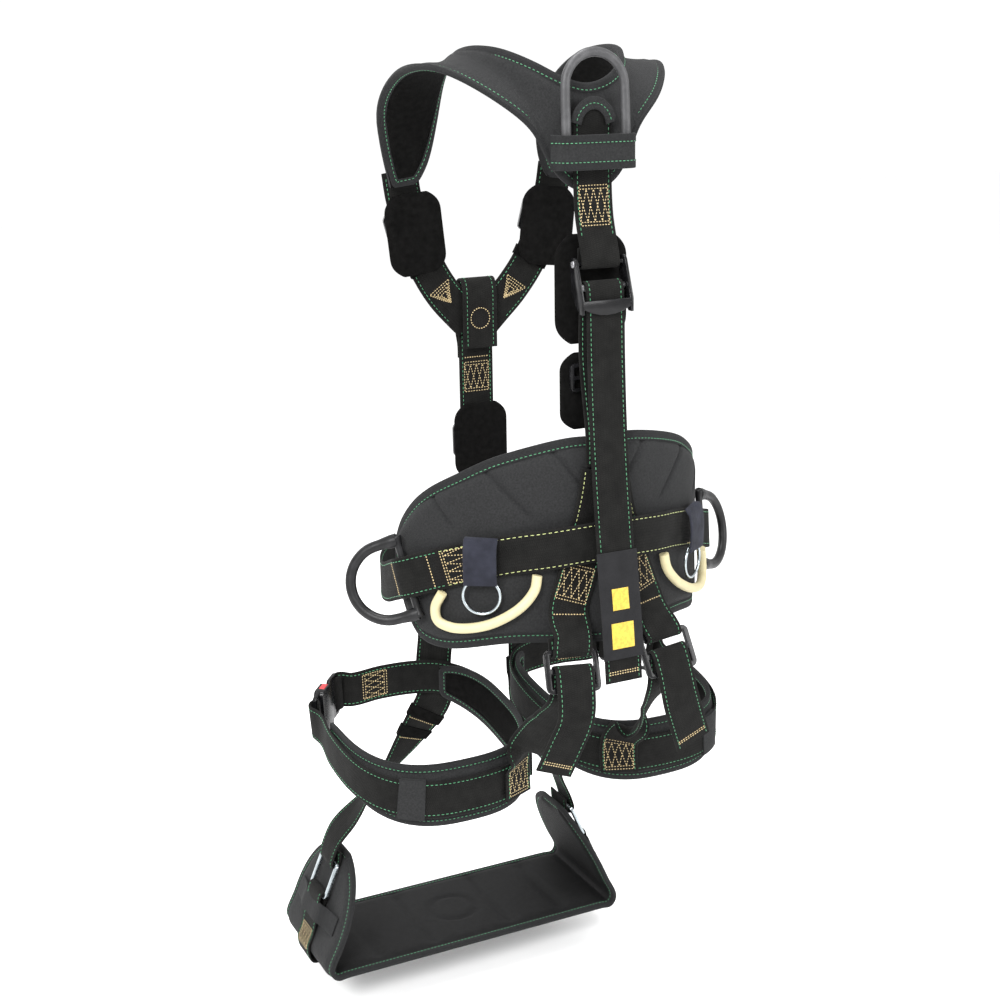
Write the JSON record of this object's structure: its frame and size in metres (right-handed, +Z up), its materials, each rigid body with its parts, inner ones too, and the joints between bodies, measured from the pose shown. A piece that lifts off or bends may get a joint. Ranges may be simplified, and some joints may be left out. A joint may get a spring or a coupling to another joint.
{
  "type": "tree climbing saddle",
  "caption": "Full-body climbing harness in webbing: padded yoke, lumbar belt with side rings, leg loops, slide adjusters and a padded seat sling hung on links.",
  "frame": {"origin": "between the two shoulder tops, level with the top of the dorsal D-ring, on the body's centre plane", "axes": "+Z up along the upright wearer, -Y the way the wearer faces, +X the wearer's left"},
  "size_m": [0.4948, 0.5732, 1.1843],
  "materials": {
    "webbing": "woven polyester webbing, matt, with green and cream edge stitching",
    "pad_fabric": "charcoal woven pad cover with a bound edge",
    "pad_liner": "black knitted spacer lining",
    "navy_webbing": "woven navy webbing",
    "cream_tube": "flexible cream tubing, satin",
    "forged_steel": "dark grey coated forging, satin",
    "black_steel": "black coated pressed steel, semi gloss",
    "roller_steel": "bare steel roller",
    "plated_steel": "bright zinc plated wire",
    "release_red": "red moulded release button",
    "label_cloth": "black printed cloth tag"
  },
  "bodies": {
    "harness": {"dorsal_web": "webbing", "back_strap": "webbing", "waist_belt": "webbing", "hip_ring_backing_left": "webbing", "hip_ring_backing_right": "webbing", "chest_strap_left": "webbing", "chest_strap_right": "webbing", "sternal_loop": "webbing", "front_center_strap": "webbing", "rear_riser_left": "webbing", "rear_riser_right": "webbing", "rear_leg_strap_left": "webbing", "rear_leg_strap_right": "webbing", "leg_strap_left": "webbing", "leg_strap_right": "webbing", "front_riser_left": "webbing", "front_riser_right": "webbing", "yoke": "pad_fabric", "dorsal_cover_band": "pad_fabric", "lumbar_pad": "pad_fabric", "leg_pad_left": "pad_fabric", "leg_pad_right": "pad_fabric", "back_pad_upper": "pad_liner", "back_pad_lower": "pad_liner", "chest_pad_left": "pad_liner", "chest_pad_right": "pad_liner", "front_center_pad": "pad_liner", "ring_tab_left": "navy_webbing", "ring_tab_right": "navy_webbing", "gear_loop_left": "cream_tube", "gear_loop_right": "cream_tube", "adjuster_frame": "black_steel", "lower_back_buckle": "black_steel", "waist_buckle_body": "black_steel", "waist_buckle_tongue": "black_steel", "chest_buckle_left": "black_steel", "chest_buckle_right": "black_steel", "front_center_buckle": "black_steel", "slide_adjuster_left": "black_steel", "slide_adjuster_right": "black_steel", "leg_buckle_body_left": "black_steel", "leg_buckle_body_right": "black_steel", "leg_buckle_tongue_left": "black_steel", "leg_buckle_tongue_right": "black_steel", "label_tag": "label_cloth"},
    "dorsal_ring": {"dorsal_d_ring": "forged_steel"},
    "roller": {"adjuster_roller": "roller_steel"},
    "hip_ring_left": {"hip_d_ring_left": "forged_steel"},
    "hip_ring_right": {"hip_d_ring_right": "forged_steel"},
    "gear_ring_left": {"gear_ring_left": "plated_steel"},
    "gear_ring_right": {"gear_ring_right": "plated_steel"},
    "waist_release": {"waist_buckle_release": "release_red"},
    "leg_release_left": {"leg_buckle_release_left": "release_red"},
    "leg_release_right": {"leg_buckle_release_right": "release_red"},
    "seat": {"seat_strap_left": "webbing", "seat_strap_right": "webbing", "seat_link_left": "plated_steel", "seat_link_right": "plated_steel", "seat_web": "webbing", "seat_pad": "pad_fabric"}
  },
  "joints": [
    {"name": "dorsal_ring_hinge", "type": "hinge", "parent": "harness", "child": "dorsal_ring", "pos_m": [0, 0.1265, -0.093], "axis": [-1, 0, 0], "range_deg": [0, 20]},
    {"name": "roller_spin", "type": "hinge", "parent": "harness", "child": "roller", "pos_m": [0, 0.137, -0.236], "axis": [1, 0, 0], "continuous": true},
    {"name": "hip_ring_swing_left", "type": "hinge", "parent": "harness", "child": "hip_ring_left", "pos_m": [0.188, 0.0437, -0.5468], "axis": [0.1374, -0.3365, 0.9316], "range_deg": [-15, 90]},
    {"name": "hip_ring_swing_right", "type": "hinge", "parent": "harness", "child": "hip_ring_right", "pos_m": [-0.188, 0.0437, -0.5468], "axis": [0.1374, 0.3365, -0.9316], "range_deg": [-15, 90]},
    {"name": "gear_ring_swing_left", "type": "hinge", "parent": "harness", "child": "gear_ring_left", "pos_m": [0.1325, 0.1122, -0.5422], "axis": [0.8292, -0.559, 0], "range_deg": [-3, 30]},
    {"name": "gear_ring_swing_right", "type": "hinge", "parent": "harness", "child": "gear_ring_right", "pos_m": [-0.1325, 0.1122, -0.5422], "axis": [0.8292, 0.559, 0], "range_deg": [-3, 30]},
    {"name": "waist_release_press", "type": "slide", "parent": "harness", "child": "waist_release", "axis": [0, 0, 1], "range_m": [0, 0.003], "stiffness_N_per_m": 300},
    {"name": "leg_release_press_left", "type": "slide", "parent": "harness", "child": "leg_release_left", "axis": [-0.0792, -0.0863, -0.9931], "range_m": [0, 0.003], "stiffness_N_per_m": 300},
    {"name": "leg_release_press_right", "type": "slide", "parent": "harness", "child": "leg_release_right", "axis": [0.0792, -0.0863, -0.9931], "range_m": [0, 0.003], "stiffness_N_per_m": 300},
    {"name": "seat_swing", "type": "hinge", "parent": "harness", "child": "seat", "pos_m": [0, -0.1894, -0.7951], "axis": [1, 0, 0], "range_deg": [-25, 25]}
  ]
}
